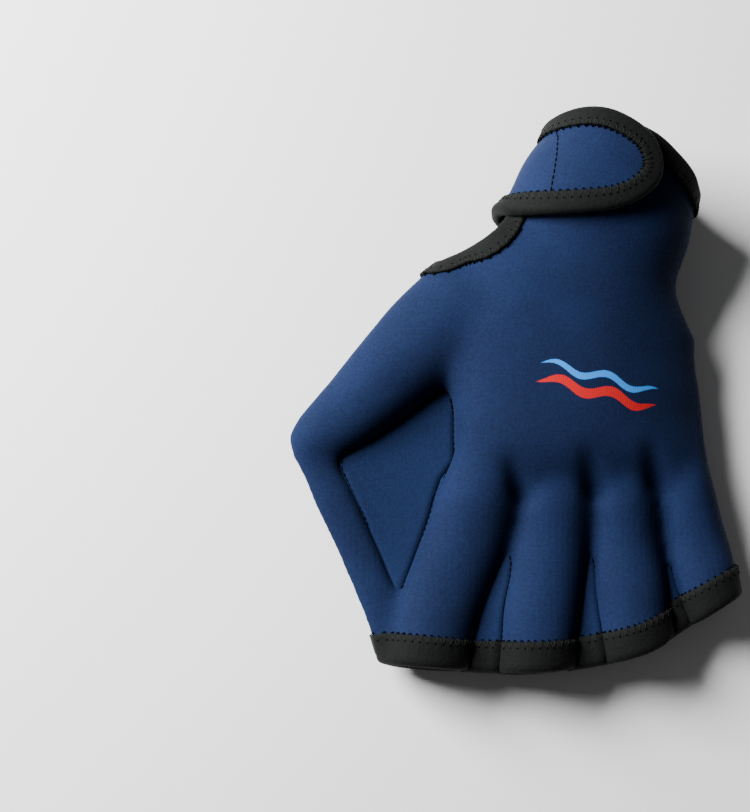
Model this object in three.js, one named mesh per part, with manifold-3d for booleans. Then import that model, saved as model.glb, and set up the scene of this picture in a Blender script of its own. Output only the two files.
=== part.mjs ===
// A fingerless webbed swim glove for the left hand, lying palm down.
// +X points to the little finger, +Y to the cuff and +Z up from the back of the hand.
// Soft tubes for the palm, fingers and thumb share one hollow neoprene shell. Flat webs fill the
// spaces between the fingers, tape binds the open edges, and a strap closes the slit at the wrist.
import * as THREE from 'three';
import { mergeVertices } from 'three/addons/utils/BufferGeometryUtils.js';
import Module from 'manifold-3d';

const wasm = await Module();
wasm.setup();

// Driving dimensions in millimetres
const handLength = 212;          // cuff to fingertip edge, along the hand
const palmWidth = 97;
const palmDepth = 36;
const wristWidth = 66;
const wristDepth = 46;
const indexWidth = 32;
const middleWidth = 30;
const ringWidth = 28;
const littleWidth = 23;
const fingerDepth = 23;
const thumbWidth = 34;
const thumbDepth = 26;
const bandWidth = 16;            // padded edge from the thumb tip to the index fingertip
const bandThickness = 7;
const wall = 2.5;                // neoprene with a jersey face on both sides
const webThickness = 3;
const bindingWidth = 10;         // tape round the fingertip edge
const cuffBindingWidth = 6;
const bindingThickness = 1.2;
const strapThickness = 3;
const strapBindingWidth = 6.5;
const strapRootHeight = 9;       // the strap leaves the palm side this high above the floor
const closureLength = 30;        // hook patch under the end of the strap
const closureWidth = 14;
const closureThickness = 1.2;
const slitHeight = 16;           // the palm side of the slit ends this high above the floor
const clearance = 0.3;
const flattening = 1.5;          // how far the round underside is pressed flat where it rests

const tapeReach = clearance + bindingThickness;
const edgeLift = flattening + tapeReach;         // keeps a bound edge above the floor
const webHeight = fingerDepth / 2;
const strapInside = tapeReach + clearance;
const strapOutside = strapInside + strapThickness;

// Smoothness of the meshes
const palmSides = 22;
const tubeSides = 14;
const bandSides = 10;
const edgeSteps = 13;
const far = 90;                  // how far a cutter reaches past what it cuts

const neopreneColor = 0x16203f;
const webColor = 0x1a2344;
const bindingColor = 0x1d2224;
const hookColor = 0x15171b;

// Section tables. along and across are shares of handLength and palmWidth, width and depth are
// shares of the tube's own width and depth, and lift is a share of edgeLift.
const palm = {
  sides: palmSides,
  squareness: 2.3,
  closedEnd: true,
  size: (row) => ({
    width: row.width * THREE.MathUtils.lerp(palmWidth, wristWidth, row.wrist),
    depth: row.depth * THREE.MathUtils.lerp(palmDepth, wristDepth, row.wrist),
  }),
  rows: [
    { along: 0.530, across: 0.390, width: 0.93, depth: 0.96, lift: 1.3, wrist: 1.0 },
    { along: 0.414, across: 0.318, width: 0.95, depth: 0.98, lift: 1.2, wrist: 1.0 },
    { along: 0.366, across: 0.277, width: 0.98, depth: 1.00, lift: 1.0, wrist: 1.0 },
    { along: 0.307, across: 0.235, width: 1.03, depth: 1.00, lift: 0.5, wrist: 1.0 },
    { along: 0.241, across: 0.186, width: 0.94, depth: 1.00, lift: 0.0, wrist: 0.5 },
    { along: 0.166, across: 0.121, width: 0.98, depth: 1.06, lift: 0.0, wrist: 0.0 },
    { along: 0.074, across: 0.105, width: 0.99, depth: 1.02, lift: 0.0, wrist: 0.0 },
    { along: -0.018, across: 0.129, width: 1.00, depth: 0.98, lift: 0.0, wrist: 0.0 },
    { along: -0.096, across: 0.145, width: 1.01, depth: 0.92, lift: 0.0, wrist: 0.0 },
    { along: -0.148, across: 0.153, width: 1.03, depth: 0.76, lift: 0.2, wrist: 0.0 },
    { along: -0.198, across: 0.157, width: 0.98, depth: 0.36, lift: 2.2, wrist: 0.0 },
  ],
};

const fingerRows = (table) => table.map(([along, across, width, depth, lift]) => (
  { along, across, width, depth, lift }));

const roundTube = (width, depth) => ({
  sides: tubeSides,
  squareness: 2,
  closedEnd: false,
  size: (row) => ({ width: row.width * width, depth: row.depth * depth }),
});

// Columns of the finger tables: along, across, width, depth, lift
const indexFinger = {
  ...roundTube(indexWidth, fingerDepth),
  rows: fingerRows([
    [-0.070, -0.180, 0.70, 0.80, 2.5],
    [-0.184, -0.257, 0.97, 1.12, 0.0],
    [-0.267, -0.314, 1.03, 1.00, 0.0],
    [-0.346, -0.382, 1.00, 0.97, 0.3],
    [-0.405, -0.430, 0.96, 0.96, 1.0],
    [-0.464, -0.462, 0.94, 0.96, 1.2],
    [-0.552, -0.507, 0.94, 0.96, 1.2],
  ]),
};

const middleFinger = {
  ...roundTube(middleWidth, fingerDepth),
  rows: fingerRows([
    [-0.075, 0.068, 0.75, 0.80, 2.5],
    [-0.188, 0.052, 0.98, 1.14, 0.0],
    [-0.267, 0.032, 1.00, 1.03, 0.0],
    [-0.342, 0.008, 1.00, 1.00, 0.3],
    [-0.405, -0.016, 0.99, 0.98, 1.0],
    [-0.467, -0.034, 0.97, 0.98, 1.2],
    [-0.559, -0.060, 0.97, 0.98, 1.2],
  ]),
};

const ringFinger = {
  ...roundTube(ringWidth, fingerDepth),
  rows: fingerRows([
    [-0.075, 0.302, 0.75, 0.80, 2.5],
    [-0.184, 0.322, 0.96, 1.12, 0.0],
    [-0.285, 0.342, 0.98, 1.00, 0.1],
    [-0.368, 0.358, 0.99, 0.98, 1.0],
    [-0.438, 0.370, 0.98, 0.97, 1.2],
    [-0.534, 0.390, 0.98, 0.97, 1.2],
  ]),
};

const littleFinger = {
  ...roundTube(littleWidth, fingerDepth),
  rows: fingerRows([
    [-0.060, 0.530, 0.70, 0.75, 2.5],
    [-0.178, 0.579, 0.98, 1.04, 0.0],
    [-0.272, 0.623, 1.00, 0.95, 0.2],
    [-0.335, 0.659, 1.00, 0.92, 1.1],
    [-0.383, 0.688, 0.97, 0.91, 1.2],
    [-0.469, 0.740, 0.97, 0.91, 1.2],
  ]),
};

const thumb = {
  ...roundTube(thumbWidth, thumbDepth),
  closedEnd: true,
  rows: fingerRows([
    [0.225, -0.090, 0.70, 0.80, 2.5],
    [0.178, -0.255, 1.16, 1.20, 0.0],
    [0.120, -0.418, 1.14, 1.14, 0.0],
    [0.044, -0.591, 1.00, 1.00, 0.0],
    [-0.042, -0.784, 0.80, 0.85, 0.4],
    [-0.088, -0.915, 0.64, 0.66, 1.2],
    [-0.112, -0.985, 0.38, 0.40, 2.2],
  ]),
};

const band = {
  ...roundTube(bandWidth, bandThickness),
  sides: bandSides,
  middle: webHeight,
  rows: fingerRows([
    [-0.106, -0.935, 0.90, 1.0, 0],
    [-0.160, -0.893, 1.00, 1.0, 0],
    [-0.224, -0.824, 1.00, 1.0, 0],
    [-0.278, -0.768, 1.00, 1.0, 0],
    [-0.361, -0.688, 1.00, 1.0, 0],
    [-0.427, -0.631, 1.00, 1.0, 0],
    [-0.552, -0.535, 1.00, 1.0, 0],
  ]),
};

const hollowTubes = [palm, indexFinger, middleFinger, ringFinger, littleFinger, thumb];
const allTubes = [...hollowTubes, band];

// Edge tables: points of each open edge, along and across, in order
const fingertipEdge = [
  [-0.478, -0.86], [-0.491, -0.68], [-0.500, -0.50], [-0.506, -0.31], [-0.509, -0.04],
  [-0.497, 0.18], [-0.471, 0.41], [-0.423, 0.58], [-0.375, 0.76], [-0.335, 0.92],
];
const cuffEdge = [
  [0.295, 0.80], [0.345, 0.610], [0.384, 0.560], [0.423, 0.476], [0.461, 0.372],
  [0.490, 0.170], [0.473, 0.040], [0.442, -0.026], [0.400, -0.085], [0.320, -0.25],
];
const slitEdge = [
  [0.540, -0.010], [0.430, -0.065], [0.366, -0.115], [0.311, -0.155], [0.272, -0.230],
  [0.247, -0.330], [0.231, -0.425], [0.255, -0.500], [0.310, -0.580],
];
const strapEdge = [
  [0.262, -0.420], [0.283, -0.270], [0.300, -0.200], [0.309, -0.080], [0.323, 0.196], [0.354, 0.345],
  [0.391, 0.393], [0.433, 0.377], [0.457, 0.337], [0.478, 0.269], [0.492, 0.200],
  [0.496, 0.124], [0.490, 0.040], [0.470, -0.033], [0.444, -0.100], [0.419, -0.420],
];
const closurePlace = { along: 0.394, across: 0.200, turn: 12 };

const placed = (along, across) => new THREE.Vector2(across * palmWidth, along * handLength);

// A closed geometry becomes a solid that can be joined and cut
function solidFrom(geometry) {
  const bare = geometry.clone();
  bare.deleteAttribute('normal');
  bare.deleteAttribute('uv');
  const merged = mergeVertices(bare, 1e-4);
  return new wasm.Manifold(new wasm.Mesh({
    numProp: 3,
    vertProperties: new Float32Array(merged.attributes.position.array),
    triVerts: new Uint32Array(merged.index.array),
  }));
}

function joined(solids) {
  return solids.reduce((sum, solid) => sum.add(solid));
}

// A tube through the rows of a table, with every surface moved outwards by grow
function tube(form, grow) {
  const { rows, sides, squareness } = form;
  const path = new THREE.CatmullRomCurve3(rows.map((row) => {
    const point = placed(row.along, row.across);
    return new THREE.Vector3(point.x, point.y, row.lift * edgeLift);
  }));
  const sizes = new THREE.CatmullRomCurve3(rows.map((row) => {
    const { width, depth } = form.size(row);
    return new THREE.Vector3(width / 2, depth / 2, 0);
  }));
  const last = rows.length - 1;
  const positions = [];
  for (let i = 0; i <= last; i += 1) {
    const share = i / last;
    const centre = path.getPoint(share);
    const tangent = path.getTangent(share).setZ(0).normalize();
    const halves = sizes.getPoint(share);
    if (form.closedEnd && i === last) {
      centre.addScaledVector(tangent, grow);
    }
    const height = form.middle ?? halves.y - flattening + centre.z;
    for (let k = 0; k < sides; k += 1) {
      const angle = (k / sides) * 2 * Math.PI;
      const side = roundedShare(Math.cos(angle), squareness) * (halves.x + grow);
      const rise = roundedShare(Math.sin(angle), squareness) * (halves.y + grow);
      positions.push(
        centre.x - tangent.y * side,
        centre.y + tangent.x * side,
        height + rise,
      );
    }
  }
  return solidFrom(loftGeometry(positions, last + 1, sides));
}

function roundedShare(value, squareness) {
  return Math.sign(value) * Math.abs(value) ** (2 / squareness);
}

// Rings of vertices joined by quads, with a fan at each end
function loftGeometry(positions, rings, sides) {
  const faces = [];
  for (let i = 0; i < rings - 1; i += 1) {
    for (let k = 0; k < sides; k += 1) {
      const a = i * sides + k;
      const b = i * sides + ((k + 1) % sides);
      faces.push(a, b, a + sides, b, b + sides, a + sides);
    }
  }
  for (let k = 1; k < sides - 1; k += 1) {
    const end = (rings - 1) * sides;
    faces.push(0, k + 1, k, end, end + k, end + k + 1);
  }
  const geometry = new THREE.BufferGeometry();
  geometry.setAttribute('position', new THREE.Float32BufferAttribute(positions, 3));
  geometry.setIndex(faces);
  return geometry;
}

// A smooth line through an edge table, moved to its right by shift
function edgeLine(table, shift) {
  const points = table.map(([along, across]) => {
    const point = placed(along, across);
    return new THREE.Vector3(point.x, point.y, 0);
  });
  const curve = new THREE.CatmullRomCurve3(points);
  return Array.from({ length: edgeSteps + 1 }, (_, i) => {
    const share = i / edgeSteps;
    const point = curve.getPoint(share);
    const tangent = curve.getTangent(share);
    return new THREE.Vector2(point.x + tangent.y * shift, point.y - tangent.x * shift);
  });
}

function prism(outline, bottom, top) {
  const geometry = new THREE.ExtrudeGeometry(new THREE.Shape(outline), {
    depth: top - bottom,
    bevelEnabled: false,
  });
  geometry.translate(0, 0, bottom);
  return solidFrom(geometry);
}

// What lies past an open edge. A positive grow moves the cut into the glove.
function beyondFingertips(grow) {
  const line = edgeLine(fingertipEdge, -grow);
  const low = -handLength;
  return prism([
    ...line,
    new THREE.Vector2(line.at(-1).x + far, line.at(-1).y),
    new THREE.Vector2(line.at(-1).x + far, low),
    new THREE.Vector2(line[0].x - far, low),
    new THREE.Vector2(line[0].x - far, line[0].y),
  ], -far, far);
}

function beyondCuff(grow) {
  const line = edgeLine(cuffEdge, -grow);
  const high = handLength;
  const cuff = prism([
    ...line,
    new THREE.Vector2(line.at(-1).x, high),
    new THREE.Vector2(line[0].x, high),
  ], -far, far);
  const slitLine = edgeLine(slitEdge, -grow);
  const slit = prism([
    ...slitLine,
    new THREE.Vector2(slitLine.at(-1).x - far, slitLine.at(-1).y),
    new THREE.Vector2(slitLine.at(-1).x - far, slitLine[0].y),
  ], slitHeight - grow, far);
  return cuff.add(slit);
}

// The round underside is pressed flat, inside and out
function below(top) {
  const size = 2 * handLength;
  const box = new THREE.BoxGeometry(size, size, far);
  box.translate(0, 0, top - far / 2);
  return solidFrom(box);
}

const outside = (grow) => joined(allTubes.map((form) => tube(form, grow))).subtract(below(-grow));
const hollow = (grow) => joined(hollowTubes.map((form) => tube(form, -wall - grow)))
  .subtract(below(wall + grow));

// A flat web between two lines of tube rows
function webSlab(leftRows, rightRows, grow) {
  const outline = [...leftRows, ...[...rightRows].reverse()]
    .map((row) => placed(row.along, row.across));
  const half = webThickness / 2 + grow;
  return prism(outline, webHeight - half, webHeight + half);
}

const webEdges = {
  finger_web_index_middle: [indexFinger.rows, middleFinger.rows],
  finger_web_middle_ring: [middleFinger.rows, ringFinger.rows],
  finger_web_ring_little: [ringFinger.rows, littleFinger.rows],
  thumb_web: [[...thumb.rows.slice(2, 6), ...band.rows.slice(1)], indexFinger.rows],
};

const webSlabs = (grow) => joined(
  Object.values(webEdges).map(([left, right]) => webSlab(left, right, grow)));

// Tape folded over an edge: both faces of the wall and its end, clear of the wall by clearance
function edgeTape(beyond, width) {
  return thickZone.intersect(beyond(width))
    .subtract(beyond(-tapeReach))
    .subtract(clearZone.subtract(beyond(-clearance)));
}

const outsideAtWall = outside(0);
const outsideClear = outside(clearance);
const outsideTape = outside(tapeReach);
const clearZone = outsideClear.add(webSlabs(clearance)).subtract(hollow(clearance));
const thickZone = outsideTape.add(webSlabs(tapeReach)).subtract(hollow(tapeReach));

// The shell is sewn from a back panel and a palm panel, which meet along the sides of the hand
const shell = outsideAtWall.subtract(hollow(0))
  .subtract(beyondFingertips(0))
  .subtract(beyondCuff(0));

const backPanel = () => shell.subtract(below(webHeight + clearance / 2));
const palmPanel = () => shell.intersect(below(webHeight - clearance / 2));

function web(name) {
  const [left, right] = webEdges[name];
  return webSlab(left, right, 0).subtract(outsideClear).subtract(beyondFingertips(0));
}

// A layer that lies on the wrist, between two distances from it, inside an outline
function wristLayer(inner, outer, outline, bottom) {
  return tube(palm, outer).intersect(prism(outline, bottom, far)).subtract(outside(inner));
}

function strap() {
  return wristLayer(strapInside, strapOutside, edgeLine(strapEdge, 0), strapRootHeight);
}

function strapBinding() {
  const window = prism(edgeLine(strapEdge, -strapBindingWidth), -far, far);
  const reach = edgeLine(strapEdge, tapeReach);
  const core = wristLayer(
    0, strapOutside + clearance, edgeLine(strapEdge, clearance), strapRootHeight - clearance);
  return wristLayer(strapInside, strapOutside + tapeReach, reach, strapRootHeight)
    .subtract(window)
    .subtract(core);
}

function strapClosure() {
  const { along, across, turn } = closurePlace;
  const centre = placed(along, across);
  const corners = [[-1, -1], [1, -1], [1, 1], [-1, 1]].map(([x, y]) => (
    new THREE.Vector2(x * closureLength / 2, y * closureWidth / 2)
      .rotateAround(new THREE.Vector2(), THREE.MathUtils.degToRad(turn))
      .add(centre)));
  return wristLayer(clearance, clearance + closureThickness, corners, webHeight)
    .subtract(beyondCuff(cuffBindingWidth + clearance));
}

function meshOf(name, solid, color, roughness) {
  const { vertProperties, triVerts } = solid.getMesh();
  const geometry = new THREE.BufferGeometry();
  geometry.setAttribute('position', new THREE.BufferAttribute(vertProperties, 3));
  geometry.setIndex(new THREE.BufferAttribute(triVerts, 1));
  geometry.computeVertexNormals();
  const mesh = new THREE.Mesh(
    geometry, new THREE.MeshStandardMaterial({ color, roughness, metalness: 0 }));
  mesh.name = name;
  return mesh;
}

const group = new THREE.Group();
group.add(
  meshOf('back_panel', backPanel(), neopreneColor, 0.8),
  meshOf('palm_panel', palmPanel(), neopreneColor, 0.8),
  ...Object.keys(webEdges).map((name) => meshOf(name, web(name), webColor, 0.85)),
  meshOf('fingertip_binding', edgeTape(beyondFingertips, bindingWidth), bindingColor, 0.7),
  meshOf('cuff_binding', edgeTape(beyondCuff, cuffBindingWidth), bindingColor, 0.7),
  meshOf('strap', strap(), neopreneColor, 0.8),
  meshOf('strap_binding', strapBinding(), bindingColor, 0.7),
  meshOf('strap_closure', strapClosure(), hookColor, 0.9),
);

// The origin is under the middle of the glove, on the surface that it lies on
const box = new THREE.Box3().setFromObject(group);
const middle = box.getCenter(new THREE.Vector3());
group.position.set(-middle.x, -middle.y, -box.min.z);

export default group;
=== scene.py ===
import math

import bmesh
import bpy
from mathutils import Matrix, Vector
from mathutils.bvhtree import BVHTree


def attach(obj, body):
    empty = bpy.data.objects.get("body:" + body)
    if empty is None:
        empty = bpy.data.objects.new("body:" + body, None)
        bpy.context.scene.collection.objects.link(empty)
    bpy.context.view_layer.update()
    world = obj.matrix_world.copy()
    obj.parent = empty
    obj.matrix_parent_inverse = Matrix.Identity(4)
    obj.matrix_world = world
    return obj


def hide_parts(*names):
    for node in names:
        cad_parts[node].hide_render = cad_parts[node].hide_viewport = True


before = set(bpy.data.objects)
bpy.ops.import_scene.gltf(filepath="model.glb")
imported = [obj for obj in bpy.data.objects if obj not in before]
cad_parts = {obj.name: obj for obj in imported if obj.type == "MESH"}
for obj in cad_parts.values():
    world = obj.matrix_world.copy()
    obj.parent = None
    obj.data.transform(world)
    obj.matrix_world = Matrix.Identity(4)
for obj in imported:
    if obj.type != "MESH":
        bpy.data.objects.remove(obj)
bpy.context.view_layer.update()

print("frame loaded")

# Sizes of the glove in metres, and where its construction axes cross in the frame
glove = {
    "handLength": 0.212,
    "palmWidth": 0.097,
    "palmDepth": 0.036,
    "wristWidth": 0.066,
    "wristDepth": 0.046,
    "fingerDepth": 0.023,
    "wall": 0.0025,
    "flattening": 0.0015,
    "edgeLift": 0.003,
    "webHeight": 0.0115,
    "axes": Vector((0.010183, 0.001487, 0.0)),
}


def planPoint(along, across):
    x = across * glove["palmWidth"]
    y = along * glove["handLength"]
    return Vector((x, y, 0.0)) + glove["axes"]


def limited(value, low=0.0, high=1.0):
    return max(low, min(high, value))


# Rows: along, across, width, depth, lift. Width and depth are shares of the tube's own
def fingerTube(width, depth, rows, squareness=2.0):
    return {
        "squareness": squareness,
        "rows": [(planPoint(r[0], r[1]), width * r[2] / 2, depth * r[3] / 2, r[4]) for r in rows],
    }


# The same rows, with one more share: 0 is as wide and deep as the palm, 1 as the wrist
def palmTube(rows, squareness=2.3):
    made = []
    for along, across, width, depth, lift, wrist in rows:
        breadth = glove["palmWidth"] + (glove["wristWidth"] - glove["palmWidth"]) * wrist
        thick = glove["palmDepth"] + (glove["wristDepth"] - glove["palmDepth"]) * wrist
        made.append((planPoint(along, across), breadth * width / 2, thick * depth / 2, lift))
    return {"squareness": squareness, "rows": made}


palm = palmTube([
    (0.530, 0.390, 0.93, 0.96, 1.3, 1.0),
    (0.414, 0.318, 0.95, 0.98, 1.2, 1.0),
    (0.366, 0.277, 0.98, 1.00, 1.0, 1.0),
    (0.307, 0.235, 1.03, 1.00, 0.5, 1.0),
    (0.241, 0.186, 0.94, 1.00, 0.0, 0.5),
    (0.166, 0.121, 0.98, 1.06, 0.0, 0.0),
    (0.074, 0.105, 0.99, 1.02, 0.0, 0.0),
    (-0.018, 0.129, 1.00, 0.98, 0.0, 0.0),
    (-0.096, 0.145, 1.01, 0.92, 0.0, 0.0),
    (-0.148, 0.153, 1.03, 0.76, 0.2, 0.0),
    (-0.198, 0.157, 0.98, 0.36, 2.2, 0.0),
])
indexFinger = fingerTube(0.032, glove["fingerDepth"], [
    (-0.070, -0.180, 0.70, 0.80, 2.5),
    (-0.184, -0.257, 0.97, 1.12, 0.0),
    (-0.267, -0.314, 1.03, 1.00, 0.0),
    (-0.346, -0.382, 1.00, 0.97, 0.3),
    (-0.405, -0.430, 0.96, 0.96, 1.0),
    (-0.464, -0.462, 0.94, 0.96, 1.2),
    (-0.552, -0.507, 0.94, 0.96, 1.2),
])
middleFinger = fingerTube(0.030, glove["fingerDepth"], [
    (-0.075, 0.068, 0.75, 0.80, 2.5),
    (-0.188, 0.052, 0.98, 1.14, 0.0),
    (-0.267, 0.032, 1.00, 1.03, 0.0),
    (-0.342, 0.008, 1.00, 1.00, 0.3),
    (-0.405, -0.016, 0.99, 0.98, 1.0),
    (-0.467, -0.034, 0.97, 0.98, 1.2),
    (-0.559, -0.060, 0.97, 0.98, 1.2),
])
ringFinger = fingerTube(0.028, glove["fingerDepth"], [
    (-0.075, 0.302, 0.75, 0.80, 2.5),
    (-0.184, 0.322, 0.96, 1.12, 0.0),
    (-0.285, 0.342, 0.98, 1.00, 0.1),
    (-0.368, 0.358, 0.99, 0.98, 1.0),
    (-0.438, 0.370, 0.98, 0.97, 1.2),
    (-0.534, 0.390, 0.98, 0.97, 1.2),
])
littleFinger = fingerTube(0.023, glove["fingerDepth"], [
    (-0.060, 0.530, 0.70, 0.75, 2.5),
    (-0.178, 0.579, 0.98, 1.04, 0.0),
    (-0.272, 0.623, 1.00, 0.95, 0.2),
    (-0.335, 0.659, 1.00, 0.92, 1.1),
    (-0.383, 0.688, 0.97, 0.91, 1.2),
    (-0.469, 0.740, 0.97, 0.91, 1.2),
])
thumb = fingerTube(0.034, 0.026, [
    (0.225, -0.090, 0.70, 0.80, 2.5),
    (0.178, -0.255, 1.16, 1.20, 0.0),
    (0.120, -0.418, 1.14, 1.14, 0.0),
    (0.044, -0.591, 1.00, 1.00, 0.0),
    (-0.042, -0.784, 0.80, 0.85, 0.4),
    (-0.088, -0.915, 0.64, 0.66, 1.2),
    (-0.112, -0.985, 0.38, 0.40, 2.2),
])
band = fingerTube(0.016, 0.007, [
    (-0.106, -0.935, 0.90, 1.0, 0.0),
    (-0.160, -0.893, 1.00, 1.0, 0.0),
    (-0.224, -0.824, 1.00, 1.0, 0.0),
    (-0.278, -0.768, 1.00, 1.0, 0.0),
    (-0.361, -0.688, 1.00, 1.0, 0.0),
    (-0.427, -0.631, 1.00, 1.0, 0.0),
    (-0.552, -0.535, 1.00, 1.0, 0.0),
])
band["middle"] = glove["webHeight"]
allTubes = [palm, indexFinger, middleFinger, ringFinger, littleFinger, thumb, band]

# Open edges and the strap's outline in plan: along and across, in order
openEdges = {
    "fingertips": [
        (-0.478, -0.86), (-0.491, -0.68), (-0.500, -0.50), (-0.506, -0.31), (-0.509, -0.04),
        (-0.497, 0.18), (-0.471, 0.41), (-0.423, 0.58), (-0.375, 0.76), (-0.335, 0.92),
    ],
    "cuff": [
        (0.335, 0.80), (0.368, 0.625), (0.394, 0.580), (0.428, 0.490), (0.463, 0.375),
        (0.490, 0.170), (0.473, 0.040), (0.442, -0.026), (0.400, -0.085), (0.320, -0.25),
    ],
    "slit": [
        (0.540, -0.010), (0.430, -0.065), (0.366, -0.118), (0.314, -0.160), (0.276, -0.235),
        (0.251, -0.332), (0.234, -0.427), (0.257, -0.500), (0.310, -0.580),
    ],
    "strap": [
        (0.345, -0.420), (0.340, -0.270), (0.330, -0.190), (0.319, -0.120), (0.323, 0.196),
        (0.354, 0.345), (0.391, 0.393), (0.433, 0.377), (0.457, 0.337), (0.478, 0.269), (0.492, 0.200),
        (0.496, 0.124), (0.489, 0.040), (0.467, -0.033), (0.441, -0.100), (0.416, -0.420),
    ],
}


def catmull(points, t):
    # Smooth value between rows, for numbers and vectors
    last = len(points) - 1
    i = min(int(t), last - 1)
    f = t - i
    a = points[max(i - 1, 0)]
    b = points[i]
    c = points[i + 1]
    d = points[min(i + 2, last)]
    return (b * 2 + (c - a) * f + (a * 2 - b * 5 + c * 4 - d) * f * f
            + (b * 3 - c * 3 + d - a) * f * f * f) * 0.5


def tubeFrame(tube, t):
    # The centre, the way along and the half sizes. t counts the rows
    rows = tube["rows"]
    centres = [r[0] for r in rows]
    centre = catmull(centres, t)
    step = 0.02                  # in rows, for the way along
    last = len(rows) - 1
    ahead = catmull(centres, min(t + step, last))
    behind = catmull(centres, max(t - step, 0))
    tangent = (ahead - behind).normalized()
    halfWidth = catmull([r[1] for r in rows], t)
    halfDepth = catmull([r[2] for r in rows], t)
    lift = catmull([r[3] for r in rows], t) * glove["edgeLift"]
    height = tube.get("middle", halfDepth - glove["flattening"] + lift)
    return centre + Vector((0, 0, height)), tangent, halfWidth, halfDepth


def rounded(value, squareness):
    return math.copysign(abs(value) ** (2 / squareness), value)


def tubePoint(tube, t, angle, grow=0.0):
    # A point round the tube. grow moves it outwards
    centre, tangent, halfWidth, halfDepth = tubeFrame(tube, t)
    side = rounded(math.cos(angle), tube["squareness"]) * (halfWidth + grow)
    rise = rounded(math.sin(angle), tube["squareness"]) * (halfDepth + grow)
    return centre + Vector((-tangent.y * side, tangent.x * side, rise))


def flankPoint(tube, t, side, height, grow=0.0):
    # The point on a tube's flank at a given height. side is 1 towards +X, or -1
    centre, tangent, halfWidth, halfDepth = tubeFrame(tube, t)
    most = 0.95                  # keeps clear of the tube's top and bottom
    rise = limited((height - centre.z) / (halfDepth + grow), -most, most)
    squareness = tube["squareness"]
    reach = (1 - abs(rise) ** squareness) ** (1 / squareness) * (halfWidth + grow) * side
    return Vector((centre.x - tangent.y * reach, centre.y + tangent.x * reach, height))


def edgeLine(name, steps=26):
    points = [planPoint(a, b) for a, b in openEdges[name]]
    last = len(points) - 1
    return [catmull(points, last * i / steps) for i in range(steps + 1)]


def withinPlan(point, corners):
    # Whether a point lies inside a closed outline in plan
    inside = False
    for a, b in zip(corners, corners[1:] + corners[:1]):
        if (a.y > point.y) != (b.y > point.y):
            if point.x < a.x + (point.y - a.y) / (b.y - a.y) * (b.x - a.x):
                inside = not inside
    return inside


def fromAbove(tree, spot):
    # Where a line straight down through a spot first meets a tree, and the normal there
    return tree.ray_cast(Vector((spot.x, spot.y, 0.1)), Vector((0, 0, -1)))[:2]


def lineGap(point, line):
    # Distance in plan from a line
    gaps = []
    for a, b in zip(line, line[1:]):
        run = (b - a).xy
        off = (point - a).xy
        share = limited(off.dot(run) / run.length_squared)
        gaps.append((off - run * share).length)
    return min(gaps)


# Mesh helpers
def gridSheet(bm, uSteps, vSteps, place):
    # A grid with each vertex where place(u, v) says, with u and v from 0 to 1
    made = bmesh.ops.create_grid(bm, x_segments=uSteps, y_segments=vSteps, size=0.5)
    for v in made["verts"]:
        v.co = place(v.co.x + 0.5, v.co.y + 0.5)
    return made["verts"]


def meshObject(name, bm):
    mesh = bpy.data.meshes.new(name)
    bm.to_mesh(mesh)
    bm.free()
    made = bpy.data.objects.new(name, mesh)
    bpy.context.collection.objects.link(made)
    return made


def meshPiece(name, bm, slot, finish, *nodes):
    # A finished piece that stands for the CAD nodes named
    piece = meshObject(name, bm)
    for polygon in piece.data.polygons:
        polygon.use_smooth = True
    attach(piece, "root")
    if nodes:
        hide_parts(*nodes)
    piece.data.materials.append(finish)
    return piece


def remeshed(bm, voxel):
    # One closed skin round everything in bm
    rough = meshObject("rough", bm)
    mesh = rough.data
    modifier = rough.modifiers.new("skin", "REMESH")
    modifier.mode = "VOXEL"
    modifier.voxel_size = voxel
    graph = bpy.context.evaluated_depsgraph_get()
    skin = bmesh.new()
    skin.from_mesh(rough.evaluated_get(graph).to_mesh())
    bpy.data.objects.remove(rough)
    bpy.data.meshes.remove(mesh)
    return skin


def solidified(piece, thickness, offset):
    modifier = piece.modifiers.new("thickness", "SOLIDIFY")
    modifier.thickness = thickness
    modifier.offset = offset


def relax(bm, verts, rounds, upright=True):
    # Without upright the vertices keep their heights
    for _ in range(rounds):
        bmesh.ops.smooth_vert(
            bm, verts=verts, factor=0.5, use_axis_x=True, use_axis_y=True, use_axis_z=upright)


def planeCut(bm, faces, point, normal):
    # Adds edges to the faces where a plane passes through them
    parts = list(faces)
    parts += dict.fromkeys(e for f in faces for e in f.edges)
    parts += dict.fromkeys(v for f in faces for v in f.verts)
    return bmesh.ops.bisect_plane(bm, geom=parts, dist=1e-6, plane_co=point, plane_no=normal)


def cutAlong(bm, line, above=0.0):
    # Adds edges to the mesh where a line in plan passes over it
    reach = 0.006                # from the line to the faces that are tried
    low = Vector((min(p.x for p in line), min(p.y for p in line))) - Vector((reach, reach))
    high = Vector((max(p.x for p in line), max(p.y for p in line))) + Vector((reach, reach))
    around = {}                  # a dictionary keeps the faces in order, so each run is the same
    for face in bm.faces:
        middle = face.calc_center_median()
        if low.x < middle.x < high.x and low.y < middle.y < high.y and middle.z > above - reach:
            around[face] = True
    for a, b in zip(line, line[1:]):
        run = (b - a).normalized()
        across = Vector((run.y, -run.x, 0.0))
        length = (b - a).length
        near = []
        for face in around:
            off = face.calc_center_median() - a
            if abs(off.dot(across)) < reach and -reach < off.dot(run) < length + reach:
                near.append(face)
        cut = planeCut(bm, near, a, across)
        around.update((g, True) for g in cut["geom"] if isinstance(g, bmesh.types.BMFace))


def dropped(bm, doomed):
    # Deletes the faces that fit, and what hangs loose after that
    bmesh.ops.delete(
        bm, geom=[f for f in bm.faces if doomed(f.calc_center_median())], context="FACES")
    bmesh.ops.delete(bm, geom=[v for v in bm.verts if not v.link_faces], context="VERTS")


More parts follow.
